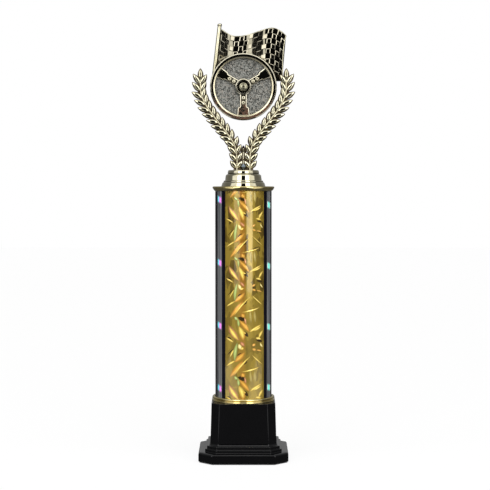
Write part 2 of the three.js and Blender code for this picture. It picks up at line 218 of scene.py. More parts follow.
def recess_shade_plating():
    """Brown, unpolished plating for recesses and gaps, its dark brown a painted shade. Faces that
    look back keep the plain plating.
    """
    made = plated("plating_recess_shade", (0.058, 0.042, 0.026), (0.030, 0.021, 0.013), 0.3)
    graph = Graph(made.node_tree)
    shader = made.node_tree.nodes["Principled BSDF"]
    facing = graph.split(graph.node("ShaderNodeTexCoord").outputs["Normal"])[1]
    # Painted shade: dark brown on every face that does not look back.
    behind = graph.step(facing, 0.6, 0.85)
    brown = shader.inputs["Base Color"].links[0].from_socket
    graph.shade(shader, Base_Color=graph.mix(behind, brown, (0.52, 0.48, 0.34)))
    return made


def black_moulding():
    made, graph, shader = material(
        "black_moulding", Coat_Weight=0.1, Coat_Roughness=0.02, Specular_IOR_Level=0.24,
    )
    place = graph.place()
    cloud = graph.noise(place, 14.0, detail=3.0)
    haze = graph.noise(graph.place((1.0, 1.0, 0.35)), 3.0, detail=5.0, rough=0.6)
    graph.shade(
        shader,
        Base_Color=graph.mix(cloud, (0.0006, 0.0006, 0.0008), (0.0014, 0.0014, 0.0018)),
        Roughness=graph.between(haze, 0.05, 0.16),
        Normal=graph.bump(graph.noise(place, 7.0, detail=1.0), 0.05, 0.4),
    )
    return made


def felt_material():
    made, graph, shader = material("felt", Sheen_Weight=0.5, Sheen_Roughness=0.6)
    fibres = graph.noise(graph.place((1.0, 1.0, 0.5)), 0.35, detail=6.0, rough=0.75)
    graph.shade(
        shader,
        Base_Color=graph.mix(fibres, (0.006, 0.006, 0.007), (0.035, 0.035, 0.038)),
        Roughness=graph.between(graph.noise(graph.place(), 1.0), 0.85, 1.0),
        Normal=graph.bump(fibres, 0.8, 0.25),
    )
    return made


def mottled(name, low, high, size, roughness, metallic=0.0):
    """A plain hidden material with grain: board, cement, tube plastic or plated steel."""
    made, graph, shader = material(name, Metallic=metallic)
    grain = graph.noise(graph.place(), size, detail=5.0, rough=0.6)
    graph.shade(
        shader,
        Base_Color=graph.mix(grain, low, high),
        Roughness=graph.between(grain, roughness * 0.8, roughness * 1.2),
        Normal=graph.bump(grain, 0.3, 0.1),
    )
    return made


def sparkle_material():
    """The insert's silver grit: small facets that each catch the light differently."""
    made, graph, shader = material("silver_grit", Metallic=0.75)
    place = graph.place()
    light, warmth, gloss = graph.split(graph.cells(place, 0.75), "Color")
    fine = graph.times(graph.noise(place, 0.5, detail=3.0), 0.4)
    tone = graph.math("MULTIPLY_ADD", light, 0.65, fine)
    colour = graph.mix(graph.step(tone, 0.15, 0.95), (0.016, 0.017, 0.014), (0.245, 0.245, 0.222))
    graph.shade(
        shader,
        Base_Color=graph.mix(graph.step(warmth, 0.8, 1.0), colour, (0.25, 0.225, 0.19)),
        Roughness=graph.between(gloss, 0.3, 0.6),
        Normal=graph.bump(light, 0.5, 0.12),
    )
    return made


# ---------------- the column's foil

# How far the panels are turned to the viewer's right, in degrees. Where the gold, black and
# silver stripes end, in millimetres round from a panel's middle. Where one tile of the print
# starts, and how tall it is.
FOIL = {"turn": 3.2, "gold": 18.5, "black": 22.8, "silver": 30.2, "start": 102.0, "tile": 52.2}
# The side of each row of hologram patches, the height of one patch, and the gap between patches.
LEFT_SPOTS = {"side": -1.0, "height": 229.7, "every": 55.4}
RIGHT_SPOTS = {"side": 1.0, "height": 224.9, "every": 53.7}

# Streaks of the foil's crushed-crystal print on one tile, in millimetres round the column and
# up it: start, end, half width at the middle, bow to one side, and tone.
STREAKS = [
    (-16.5, 43.5, -10.0, 50.0, 0.3, 0.0, "dark"),
    (-6.5, 41.5, -2.5, 46.0, 1.0, 0.2, "dark"),
    (-2.0, 36.0, 2.0, 39.5, 0.9, 0.2, "dark"),
    (-6.5, 25.0, 1.0, 22.0, 1.1, 0.3, "dark"),
    (-2.5, 65.5, 3.0, 60.0, 0.9, 0.4, "dark"),
    (-16.5, 7.5, -12.0, 5.5, 0.5, 0.2, "dark"),
    (10.0, 57.0, 17.0, 55.5, 0.7, 0.3, "dark"),
    (-2.0, 12.5, 1.0, 9.0, 1.0, 0.2, "dark"),
    (8.5, 31.0, 9.5, 20.0, 0.9, 0.0, "sheen"),
    (4.5, 31.0, 5.5, 20.0, 0.8, 0.0, "sheen"),
    (-14.0, 24.5, -1.5, 39.5, 1.3, -0.5, "amber"),
    (-10.0, 26.0, 5.0, 43.5, 0.5, 0.8, "yellow"),
    (-4.0, 29.5, 14.5, 34.0, 0.4, -0.8, "yellow"),
    (-17.5, 34.0, -8.0, 39.5, 0.5, 0.2, "yellow"),
    (-10.0, 38.0, 0.0, 47.0, 1.2, -0.6, "amber"),
    (-14.0, 41.5, -9.0, 50.0, 0.4, 0.3, "yellow"),
    (-9.0, 38.5, -6.5, 55.5, 1.0, 0.9, "green"),
    (-14.5, 69.5, -10.5, 61.0, 1.2, -0.3, "rose"),
    (-14.0, 68.0, -10.0, 60.5, 0.8, -0.3, "yellow"),
    (-18.0, 59.0, -11.0, 55.5, 0.4, 0.2, "yellow"),
    (-5.5, 67.5, 1.0, 63.0, 0.9, -0.6, "yellow"),
    (-3.5, 65.5, -1.5, 57.0, 1.3, 0.4, "amber"),
    (-4.0, 56.0, -0.5, 52.0, 0.9, 0.0, "rose"),
    (-5.5, 54.0, -3.5, 49.0, 1.0, 0.0, "pale"),
    (-3.5, 49.0, -1.0, 50.5, 0.7, 0.4, "yellow"),
    (6.5, 65.5, 15.5, 69.0, 0.6, -0.3, "yellow"),
    (12.5, 58.5, 17.5, 65.5, 0.8, 0.4, "yellow"),
    (9.5, 59.0, 15.5, 57.5, 0.6, 0.4, "yellow"),
    (6.5, 52.0, 9.5, 54.0, 0.7, 0.0, "amber"),
    (6.5, 49.5, 10.0, 48.5, 0.7, 0.0, "amber"),
    (10.0, 48.5, 16.5, 47.0, 0.4, 0.2, "amber"),
    (14.0, 55.0, 17.5, 50.5, 0.5, -0.4, "pale"),
    (5.5, 45.0, 17.5, 35.0, 0.3, -0.4, "yellow"),
    (-9.5, 25.5, -6.0, 23.0, 0.8, -0.4, "green"),
    (-5.5, 23.0, 4.0, 12.0, 1.1, 0.4, "amber"),
    (4.0, 12.0, 16.0, 18.5, 0.6, 0.4, "yellow"),
    (-2.5, 28.5, -0.5, 25.0, 1.1, -0.3, "amber"),
    (-0.5, 25.0, 1.0, 19.0, 0.5, 0.0, "rose"),
    (-15.0, 18.0, -5.0, 4.5, 1.6, -0.6, "rose"),
    (-14.5, 17.0, -5.5, 5.0, 1.0, -0.6, "yellow"),
    (-5.5, 17.5, -1.5, 6.0, 1.3, 0.6, "yellow"),
    (-17.5, 7.0, -10.0, 3.0, 0.4, 0.2, "yellow"),
    (-6.5, 24.0, -5.5, 16.5, 0.7, 0.3, "green"),
]
TONES = {
    "dark": ((0.06, 0.035, 0.007), (0.03, 0.018, 0.004)),
    "sheen": ((0.26, 0.19, 0.04), (0.38, 0.30, 0.08)),
    "amber": ((0.40, 0.17, 0.025), (0.72, 0.40, 0.06)),
    "yellow": ((0.44, 0.28, 0.04), (0.92, 0.70, 0.15)),
    "green": ((0.20, 0.22, 0.05), (0.42, 0.52, 0.16)),
    "rose": ((0.30, 0.12, 0.05), (0.62, 0.28, 0.13)),
    "pale": ((0.50, 0.38, 0.09), (0.90, 0.78, 0.34)),
}


def streak_group():
    """A bowed, pointed streak: Mask is 1 inside it and Core rises to 1 along its middle."""
    tree = bpy.data.node_groups.new("foil_streak", "ShaderNodeTree")
    for name in ("Arc", "Rise", "X", "Y", "DX", "DY", "Half", "Width", "Bow"):
        tree.interface.new_socket(name, in_out="INPUT", socket_type="NodeSocketFloat")
    for name in ("Mask", "Core"):
        tree.interface.new_socket(name, in_out="OUTPUT", socket_type="NodeSocketFloat")
    g = Graph(tree)
    given = {s.name: s for s in g.node("NodeGroupInput").outputs if s.name}
    across = g.minus(given["Arc"], given["X"])
    half_tile = FOIL["tile"] / 2
    up = g.math("WRAP", g.minus(given["Rise"], given["Y"]), half_tile, -half_tile)
    along = g.math("MULTIPLY_ADD", across, given["DX"], g.times(up, given["DY"]))
    sideways = g.times(across, given["DY"])
    off = g.minus(g.times(up, given["DX"]), sideways)
    share = g.math("DIVIDE", along, given["Half"])
    taper = g.minus(1.0, g.times(share, share))
    bowed = g.math("ABSOLUTE", g.minus(off, g.times(given["Bow"], taper)))
    inside = g.minus(g.times(given["Width"], taper), bowed)
    result = g.node("NodeGroupOutput")
    g.feed(result.inputs["Mask"], g.math("DIVIDE", inside, 0.22, clamp=True))
    g.feed(result.inputs["Core"], g.math("DIVIDE", inside, given["Width"], clamp=True))
    return tree


def streaked(graph, arc, rise, ground, swell):
    """The print over a ground colour, dark streaks first, and how far its bright ones stand up."""
    group = streak_group()
    colour = ground
    relief = 0.0
    for x0, z0, x1, z1, width, bow, tone in STREAKS:
        length = math.hypot(x1 - x0, z1 - z0)
        streak = graph.node("ShaderNodeGroup", node_tree=group)
        values = {
            "Arc": arc, "Rise": rise, "X": (x0 + x1) / 2, "Y": (z0 + z1) / 2,
            "DX": (x1 - x0) / length, "DY": (z1 - z0) / length,
            "Half": length / 2, "Width": graph.times(swell, width), "Bow": bow,
        }
        for key, value in values.items():
            graph.feed(streak.inputs[key], value)
        edge, core = TONES[tone]
        rising = streak.outputs["Core"]
        colour = graph.mix(streak.outputs["Mask"], colour, graph.mix(rising, edge, core))
        if tone != "dark":
            relief = graph.math("MAXIMUM", relief, rising)
    return colour, relief


def spots(graph, signed_arc, height, layout):
    """A row of small hologram patches up one silver stripe: mask, and place across it."""
    middle = layout["side"] * (FOIL["black"] + FOIL["silver"]) / 2
    half = (FOIL["silver"] - FOIL["black"]) / 2
    across = graph.math("DIVIDE", graph.minus(signed_arc, middle), half)
    every = layout["every"]
    up = graph.math("WRAP", graph.minus(height, layout["height"]), every / 2, -every / 2)
    slanted = graph.math("MULTIPLY_ADD", across, 0.9, up)
    tall = graph.step(graph.math("ABSOLUTE", slanted), 3.5, 1.3)
    wide = graph.step(graph.math("ABSOLUTE", across), 1.0, 0.5)
    return graph.times(tall, wide), across


def crushed_gold(graph, arc, height, lower):
    """The gold panel's ground: leaning facets, brushed lines, an orange middle and a pale foot."""
    warp = graph.noise(graph.place((1.0, 1.0, 0.5)), 9.0, detail=1.0)
    lean = graph.node("ShaderNodeCombineXYZ")
    bent = graph.math("MULTIPLY_ADD", height, 0.45, graph.times(warp, 14.0))
    for socket, value in zip(lean.inputs, (bent, arc, graph.times(height, 0.25))):
        graph.feed(socket, value)
    crystal = graph.node("ShaderNodeTexVoronoi", distance="MANHATTAN")
    crystal.inputs["Scale"].default_value = 1 / 5.5
    graph.feed(crystal.inputs["Vector"], lean.outputs[0])
    facet = graph.split(crystal.outputs["Color"], "Color")[0]
    deep = graph.times(crystal.outputs["Distance"], 0.2)
    shade = graph.step(graph.math("MULTIPLY_ADD", facet, 0.75, deep), 0.05, 0.9)
    ground = graph.mix(shade, (0.072, 0.044, 0.005), (0.31, 0.213, 0.026))
    brushed = graph.step(graph.noise(graph.place((1.0, 1.0, 0.02)), 1.3, detail=3.0), 0.46, 0.66)
    ground = graph.mix(graph.times(brushed, 0.35), ground, (0.22, 0.155, 0.024))
    centre = graph.step(graph.math("ABSOLUTE", graph.math("ADD", arc, 2.4)), 4.0, 1.2)
    ground = graph.mix(graph.times(centre, 0.75), ground, (0.38, 0.17, 0.022))
    return graph.mix(graph.times(lower, 0.4), ground, (0.33, 0.235, 0.035))


def silver_stripes(graph, arc, height):
    """Brushed silver, with a row of hologram patches up each side."""
    lines = graph.noise(graph.place((1.0, 1.0, 0.01)), 0.9, detail=2.0)
    silver = graph.mix(graph.step(lines, 0.3, 0.7), (0.060, 0.066, 0.075), (0.17, 0.17, 0.17))
    left, across = spots(graph, arc, height, LEFT_SPOTS)
    hue = graph.mix(graph.step(across, -0.5, 0.25), (0.12, 0.85, 0.95), (1.0, 0.30, 1.0))
    silver = graph.mix(left, silver, hue)
    right, across = spots(graph, arc, height, RIGHT_SPOTS)
    outer = graph.step(graph.math("ABSOLUTE", across), 0.1, 0.8)
    return graph.mix(right, silver, graph.mix(outer, (0.12, 1.0, 0.80), (0.90, 1.0, 1.0)))


def foil_material():
    """Hologram foil: a gold panel front and back, between black and silver stripes."""
    made, graph, shader = material("hologram_foil", Coat_Roughness=0.03, Coat_IOR=1.5, Roughness=0.16)
    x, y, height = graph.split(graph.place())
    angle = graph.math("DEGREES", graph.math("ARCTAN2", x, graph.times(y, -1.0)))
    panel = graph.math("WRAP", graph.minus(angle, FOIL["turn"]), 90.0, -90.0)
    arc = graph.times(panel, math.radians(1.0) * COLUMN_RADIUS)
    far = graph.math("ABSOLUTE", arc)

    def inside(stripe):
        return graph.step(far, FOIL[stripe] + 0.12, FOIL[stripe] - 0.12)

    lower = graph.step(height, 170.0, 100.0)
    swell = graph.math("MULTIPLY_ADD", lower, 0.5, 1.35)
    rise = graph.minus(height, FOIL["start"])
    gold, relief = streaked(graph, arc, rise, crushed_gold(graph, arc, height, lower), swell)
    black = (0.002, 0.002, 0.005)
    in_gold = inside("gold")
    colour = graph.mix(inside("silver"), black, silver_stripes(graph, arc, height))
    colour = graph.mix(inside("black"), colour, black)
    crumple = graph.times(relief, in_gold)
    graph.shade(
        shader,
        Base_Color=graph.mix(in_gold, colour, gold),
        Metallic=graph.times(in_gold, graph.between(relief, 0.36, 0.02)),
        Normal=graph.bump(crumple, 0.35, 0.3),
        Coat_Normal=graph.bump(crumple, 0.12, 0.3),
        Coat_Weight=graph.between(in_gold, 0.35, 0.65),
        Specular_IOR_Level=graph.between(in_gold, 0.15, 0.3),
    )
    return made


# ---------------- finishes

finishes = {
    "champagne": plated("champagne_plating", (0.42, 0.395, 0.29), (0.34, 0.315, 0.215), 0.05),
    "satin": plated("satin_plating", (0.42, 0.385, 0.27), (0.31, 0.275, 0.18), 0.30),
    # edge: the recess plating, dark brown painted shade in recesses and gaps.
    "edge": recess_shade_plating(),
    # The flag's plating is a darker copy of the champagne plating, as painted shade; its ground
    # between the raised squares is darker still, painted shade too.
    "flag": plated("flag_plating", (0.27, 0.25, 0.19), (0.22, 0.20, 0.15), 0.05),
    "ground": plated("flag_ground", (0.17, 0.158, 0.12), (0.12, 0.11, 0.08), 0.06),
    "wheel": wheel_plating(),
    "cast": plated("cast_plating", (0.50, 0.47, 0.35), (0.38, 0.35, 0.25), 0.36),
    "button": plated("button_plating", (0.21, 0.20, 0.14), (0.15, 0.14, 0.095), 0.26),
    "gem": plated("tie_crystal", (0.085, 0.10, 0.115), (0.055, 0.066, 0.078), 0.2),
    "gold": plated("gold_plating", (0.64, 0.54, 0.26), (0.50, 0.41, 0.18), 0.09),
    "black": black_moulding(),
    "felt": felt_material(),
    "grit": sparkle_material(),
    "foil": foil_material(),
    "board": mottled("fibreboard", (0.16, 0.10, 0.05), (0.34, 0.24, 0.14), 1.2, 0.8),
    "cement": mottled("cast_cement", (0.26, 0.25, 0.24), (0.45, 0.44, 0.42), 1.6, 0.9),
    "tube": mottled("tube_plastic", (0.55, 0.55, 0.54), (0.68, 0.68, 0.67), 4.0, 0.45),
    "steel": mottled("zinc_plate", (0.45, 0.46, 0.48), (0.72, 0.73, 0.75), 0.8, 0.35, 1.0),
    "brass": mottled("brass_insert", (0.55, 0.38, 0.14), (0.80, 0.60, 0.28), 0.8, 0.3, 1.0),
}


# ---------------- shape helpers

def rounded(points, radius, steps=4, ring=False):
    """The polyline with each corner turned into a short curve that starts radius away from it."""
    points = [np.array(p, float) for p in points]
    count = len(points)
    out = []
    for i, corner in enumerate(points):
        if not ring and i in (0, count - 1):
            out.append(corner)
            continue
        ends = []
        for side in (points[i - 1] - corner, points[(i + 1) % count] - corner):
            length = np.linalg.norm(side)
            ends.append(corner + side / length * min(radius, length * 0.45))
        start, end = ends
        for k in range(steps + 1):
            t = k / steps
            out.append((1 - t) ** 2 * start + 2 * t * (1 - t) * corner + t * t * end)
    return out


def skin(loops, join=False):
    """Vertices and faces over a row of loops, closed on itself if join and capped if not."""
    count = len(loops[0])
    verts = [tuple(p) for loop in loops for p in loop]
    faces = []
    for i in range(len(loops) if join else len(loops) - 1):
        for j in range(count):
            k = (j + 1) % count
            n = (i + 1) % len(loops)
            faces.append((i * count + j, i * count + k, n * count + k, n * count + j))
    if not join:
        last = (len(loops) - 1) * count
        faces.append(tuple(range(count))[::-1])
        faces.append(tuple(range(last, last + count)))
    return verts, faces


def merged(parts):
    """Several (vertices, faces) as one."""
    verts, faces = [], []
    for more_verts, more_faces in parts:
        start = len(verts)
        verts.extend(more_verts)
        faces.extend(tuple(i + start for i in face) for face in more_faces)
    return verts, faces


def round_angles(count):
    """Evenly spaced angles round a circle."""
    return [2 * math.pi * k / count for k in range(count)]


def revolved(profile, segments=128, on_wheel=False, centre=(0.0, 0.0)):
    """Turned from [radius, along]. on_wheel turns about a front-to-back axis at centre (x, z)."""
    profile = [(max(r, 0.0), h) for r, h in profile]
    on_axis = profile[0][0] < 1e-6 and profile[-1][0] < 1e-6
    loops = []
    for radius, along in (p for p in profile if p[0] > 1e-6):
        ring = [(radius * math.cos(t), radius * math.sin(t)) for t in round_angles(segments)]
        if on_wheel:
            loops.append([(centre[0] + a, along, centre[1] + b) for a, b in ring])
        else:
            loops.append([(a, b, along) for a, b in ring])
    return skin(loops, join=not on_axis)


def even_shading(made):
    """Normals that follow the larger faces, so flats stay flat beside their softened edges."""
    even = made.modifiers.new("even_shading", "WEIGHTED_NORMAL")
    even.keep_sharp = True
    even.weight = 80


def new_object(name, data):
    """An object in the scene for a mesh, a light or a camera."""
    made = bpy.data.objects.new(name, data)
    bpy.context.scene.collection.objects.link(made)
    return made


def placed(name, mesh, finish, body, nodes, sharp):
    """The object for a mesh: finished, riding on a body, and standing for any CAD nodes."""
    mesh.materials.append(finishes[finish])
    mesh.shade_smooth()
    mesh.set_sharp_from_angle(angle=math.radians(sharp))
    made = new_object(name, mesh)
    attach(made, body)
    if nodes:
        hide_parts(*nodes)
    return made


def piece(name, shape, finish, body, slot, *nodes, sharp=40.0):
    """A piece from (vertices, faces) in millimetres."""
    verts, faces = shape
    mesh = bpy.data.meshes.new(name)
    mesh.from_pydata([tuple(c * MM for c in v) for v in verts], [], faces)
    work = bmesh.new()
    work.from_mesh(mesh)
    bmesh.ops.remove_doubles(work, verts=work.verts, dist=1e-7)
    bmesh.ops.recalc_face_normals(work, faces=work.faces)
    work.to_mesh(mesh)
    work.free()
    even_shading(placed(name, mesh, finish, body, nodes, sharp))


# ---------------- base

def cut_corner_loop(half, face, z, corner=0.5):
    """A square with cut corners and softened edges, at one height."""
    quarter = [(face, -half), (half, -face), (half, face), (face, half)]
    outline = quarter + [(-x, -y) for x, y in quarter]
    return [(p[0], p[1], z) for p in rounded(outline, corner, 4, ring=True)]


def base_moulding():
    """Half width, half front edge and height of each step, from the floor edge to the top."""
    low, high = SHELL_LOW[2], SHELL_HIGH[2]
    outside = [
        (36.6, 25.6, low), (39.4, 27.7, low), (39.4, 27.7, 7.4), (39.1, 27.45, 8.35),
        (38.1, 26.7, 8.9), (36.05, 25.1, 9.1), (33.6, 23.9, 9.1), (33.6, 23.9, 11.6),
        (31.9, 23.4, 11.6), (31.9, 23.4, 14.2), (30.4, 22.9, 14.2), (29.4, 22.4, 14.9),
        (29.0, 22.1, 15.9), (28.0, 20.9, high), (3.6, 1.5, high),
    ]
    ceiling = high - 2.2
    inside = [(3.6, 1.5, ceiling), (25.8, 18.7, ceiling), (26.8, 19.9, 16.0), (36.6, 25.6, 6.0)]
    return skin([cut_corner_loop(*p) for p in rounded(outside, 0.6, 5) + inside], join=True)


def felt_shape():
    half, _, top = box_mm("felt_pad")[1]
    face = 27.2
    steps = [
        (half - 0.25, face - 0.25, 0.0), (half, face, 0.25), (half, face, 0.75),
        (half - 0.2, face - 0.2, top),
    ]
    return skin([cut_corner_loop(*p) for p in steps])


piece("base_moulding", base_moulding(), "black", "column", "black_gloss", "base_shell", sharp=60)
piece("felt_sheet", felt_shape(), "felt", "column", "felt", "felt_pad")


# ---------------- column

def foot_ring_shape():
    low, high = RING_LOW[2], RING_HIGH[2]
    profile = rounded([
        (3.5, low), (27.95, low), (28.0, low + 0.7), (27.6, low + 0.95), (26.75, low + 1.0),
        (26.6, low + 1.6), (27.1, low + 2.0), (27.6, low + 2.6), (27.5, low + 3.3),
        (26.8, high), (25.7, high), (25.3, high - 0.5), (25.3, low + 1.7), (3.5, low + 1.7),
    ], 0.4, 4, ring=True)
    return revolved(profile, 160)


def lid_shape():
    low, high = CAP_LOW[2], CAP_HIGH[2]
    seat = FILM_HIGH[2] + 0.1
    profile = rounded([
        (3.5, high), (26.4, high), (27.1, high - 0.15), (27.4, high - 0.75), (27.25, high - 1.5),
        (26.7, high - 2.4), (26.0, seat + 0.7), (25.3, seat + 0.15), (24.9, seat), (22.2, seat),
        (22.2, low), (20.4, low), (20.4, seat + 1.6), (3.5, seat + 1.6),
    ], 0.5, 4, ring=True)
    return revolved(profile, 160)


def film_shape():
    low, high = FILM_LOW[2], FILM_HIGH[2]
    r = COLUMN_RADIUS
    steps = 12
    outside = [(r, low + (high - low) * k / steps) for k in range(steps + 1)]
    return revolved(outside + [(r - 0.35, high), (r - 0.35, low)], 192)


piece("foot_cup", foot_ring_shape(), "gold", "column", "gold", "foot_ring")
piece("column_lid", lid_shape(), "gold", "column", "gold", "column_cap")
piece("foil_wrap", film_shape(), "foil", "column", "foil", "column_film")


# ---------------- riser and topper foot

def riser_shape():
    low, high = RISER_LOW[2], RISER_HIGH[2]
    profile = rounded([
        (17.6, low), (19.5, low), (19.4, low + 0.5), (18.6, 244.2), (18.0, 244.75), (17.5, 244.9),
        (17.5, 245.9), (17.2, 246.25), (16.5, 246.35), (16.2, 246.5), (15.65, 250.7),
        (15.2, 251.4), (14.4, 251.7), (14.2, high), (8.1, high), (8.1, high - 1.6),
        (13.0, high - 1.6), (14.3, 247.0),
    ], 0.3, 4, ring=True)
    return revolved(profile, 128)


def topper_foot_shape():
    low, high = RISER_HIGH[2] + 0.05, FOOT_HIGH[2]
    boss = FOOT_LOW[2]
    r = (FOOT_HIGH[0] - FOOT_LOW[0]) / 2
    profile = rounded([
        (0.0, high), (r - 1.2, high), (r - 0.5, high - 0.3), (r - 0.2, high - 0.9),
        (r + 0.1, high - 2.4), (r + 0.1, low + 0.5), (r - 0.1, low), (7.5, low), (7.5, boss),
        (6.1, boss), (6.1, boss + 5.5), (3.3, boss + 5.5), (3.3, high - 1.0), (0.0, high - 1.0),
    ], 0.25, 4)
    return revolved(profile, 128)


piece("riser_bell", riser_shape(), "champagne", "riser", "pale_gold", "topper_riser")
piece("topper_collar", topper_foot_shape(), "champagne", "topper", "pale_gold", "topper_foot")


# ---------------- laurels

BRANCH = [
    (-5.8, 255.0), (-5.7, 265.0), (-7.8, 277.0), (-14.5, 288.0),
    (-24.0, 300.0), (-32.5, 311.8), (-37.2, 322.5), (-37.9, 335.2),
]
LEAF_PAIRS, FIRST_LEAF, LAST_LEAF = 14, 0.025, 0.957
FOOT_SPLAY, TIP_SPLAY, INNER_SPLAY = 44, 36, -33
LEAF_WIDTH, LEAF_MARGIN, LEAF_DOME = 5.2, 0.75, 0.7
LEAF_EDGE_Y, BACKING_Y, BACK_Y = -1.9, -0.9, 1.35
BRANCH_SAMPLES = 600


def curve_points(points, count):
    """Evenly spaced points and directions on a smooth curve through the given ones."""
    points = np.array(points, float)
    padded = np.vstack([2 * points[0] - points[1], points, 2 * points[-1] - points[-2]])
    fine = []
    for i in range(1, len(padded) - 2):
        p0, p1, p2, p3 = padded[i - 1:i + 3]
        for t in np.linspace(0, 1, 24, endpoint=False):
            fine.append(0.5 * (2 * p1 + (p2 - p0) * t + (2 * p0 - 5 * p1 + 4 * p2 - p3) * t ** 2
                               + (3 * p1 - p0 - 3 * p2 + p3) * t ** 3))
    fine.append(padded[-2])
    fine = np.array(fine)
    run = np.concatenate([[0], np.cumsum(np.linalg.norm(np.diff(fine, axis=0), axis=1))])
    at = np.linspace(0, run[-1], count)
    place = np.column_stack([np.interp(at, run, fine[:, k]) for k in range(fine.shape[1])])
    return place, np.gradient(place, axis=0)


def leaf_shape(x, z, angle, length, width, side, dome, edge_y, foot_y):
    """A pointed leaf with a smooth dome across it and upright edges, from foot_y to the front."""
    along = np.array([math.cos(angle), math.sin(angle)])
    across = np.array([-along[1], along[0]])
    rows = 15
    loops = []
    shares = np.linspace(-1, 1, 13)
    for i in range(rows):
        u = i / (rows - 1)
        swell = math.sin(math.pi * u ** 0.85) ** 0.8 if 0 < i < rows - 1 else 0.0
        half = max(0.02, width / 2 * swell)
        lift = min(1.0, 3.2 * u + 0.3, 3.2 * (1 - u) + 0.1)
        flank = [(v, edge_y - dome * lift * (1 - abs(v) ** 2.9)) for v in shares]
        ring = []
        for v, y in [(-1, foot_y), *flank, (1, foot_y)]:
            point = np.array([x, z]) + along * u * length + across * (v * half)
            ring.append((side * point[0], y, point[1]))
        loops.append(ring)
    return skin(loops)


def laurel_layout():
    """Each leaf's place, direction and length on one branch."""
    place, slope = curve_points(BRANCH, BRANCH_SAMPLES)
    leaves = []
    for i in range(LEAF_PAIRS):
        t = FIRST_LEAF + (LAST_LEAF - FIRST_LEAF) * i / (LEAF_PAIRS - 1)
        k = int(t * (BRANCH_SAMPLES - 1))
        heading = math.atan2(slope[k][1], slope[k][0])
        swell = math.sin(0.5 * math.pi * min(1.0, 2.2 * t + 0.15))
        outer = heading + math.radians(FOOT_SPLAY + (TIP_SPLAY - FOOT_SPLAY) * t)
        leaves.append((*place[k], outer, 8.2 + 3.2 * swell))
        leaves.append((*place[k], heading + math.radians(INNER_SPLAY), 7.8 + 2.4 * swell))
    x, z = place[-1]
    leaves.append((x, z - 0.4, math.pi / 2, 10.6))
    return leaves


def stem_shape(side, half_width, middle_y, half_depth):
    """A flattened rod along the branch."""
    place, slope = curve_points(BRANCH, 60)
    loops = []
    for (x, z), (dx, dz) in zip(place, slope):
        length = math.hypot(dx, dz)
        nx, nz = -dz / length, dx / length
        loop = []
        for turn in round_angles(12):
            off, y = half_width * math.cos(turn), middle_y - half_depth * math.sin(turn)
            loop.append((side * (x + nx * off), y, z + nz * off))
        loops.append(loop)
    return skin(loops)


def make_laurel(node, side):
    """A branch: bright domed leaves and stem, on backing leaves a little larger all round, whose dark
    brown rim round each leaf is painted shade.
    """
    floor = FOOT_HIGH[2] + 0.1
    blades, shade_backing = [], [stem_shape(side, 3.0, BACKING_Y + 0.1, 0.3)]
    for x, z, angle, length in laurel_layout():
        dx, dz = math.cos(angle) * LEAF_MARGIN, math.sin(angle) * LEAF_MARGIN
        inner = (x + dx, z + dz, angle, length - 2 * LEAF_MARGIN, LEAF_WIDTH - 2 * LEAF_MARGIN)
        blades.append(leaf_shape(*inner, side, LEAF_DOME, LEAF_EDGE_Y, BACKING_Y + 0.3))
        # The backing leaves take the recess plating: a painted shadow round each leaf.
        shade_backing.append(leaf_shape(x, z, angle, length, LEAF_WIDTH, side, 0.15, BACKING_Y, BACK_Y))
    stems = [stem_shape(side, 0.9, -1.3, 1.0)]
    layers = ((blades, "champagne", "leaves"), (shade_backing, "edge", "shade_backing"), (stems, "satin", "stem"))
    for parts, finish, suffix in layers:
        verts, faces = merged(parts)
        verts = [(vx, vy, max(vz, floor)) for vx, vy, vz in verts]
        nodes = [node] if suffix == "leaves" else []
        piece(f"{node}_{suffix}", (verts, faces), finish, "topper", "pale_gold", *nodes, sharp=50)


make_laurel("laurel_left", 1)
make_laurel("laurel_right", -1)


def bead(z, wide, high, front, middle_y=-0.4, facets=12):
    """A cut bead: an eight-ring spindle squashed front to back."""
    loops = []
    for i in range(9):
        u = -1 + 2 * i / 8
        r = max(0.02, 1 - abs(u) ** 1.15)
        loops.append([
            (wide * r * math.cos(turn), middle_y + front * r * math.sin(turn), z + high * u)
            for turn in round_angles(facets)
        ])
    return skin(loops)


BEAD_Z = FOOT_HIGH[2] + 3.0


def tie_shape():
    """A thin rib up the gap, with three beads on it."""
    low, high = box_mm("wreath_tie")
    rib = [(-0.55, -0.9), (0.55, -0.9), (0.55, 0.9), (-0.55, 0.9)]
    upright = skin([[(x, y, z) for x, y in rib] for z in (low[2], high[2] - 0.2)])
    beads = [bead(BEAD_Z, 2.0, 2.8, 2.2), bead(265.0, 1.1, 1.3, 2.3), bead(273.0, 1.1, 1.8, 2.3)]
    return merged([upright, *beads])


def web_shape():
    """The dark plate that fills the gap between the branches behind the tie: a sheet of painted shade
    in the recess plating.
    """
    low = FOOT_HIGH[2] + 0.1
    half = [(5.2, low), (4.4, low + 6.0), (3.2, low + 13.0), (1.6, low + 19.0), (0.6, low + 21.5)]
    outline = half + [(-x, z) for x, z in half[::-1]]
    return skin([[(x, y, z) for x, z in outline] for y in (-0.6, 0.9)])


# The web is painted shade in the gap behind the tie.
piece("tie_web", web_shape(), "edge", "topper", "pale_gold", sharp=30)
piece("tie_beads", tie_shape(), "cast", "topper", "pale_gold", "wreath_tie", sharp=30)
piece("tie_gem", bead(BEAD_Z, 2.4, 2.9, 1.3, -2.6, 8), "gem", "topper", "pale_gold", sharp=12)


# ---------------- flag

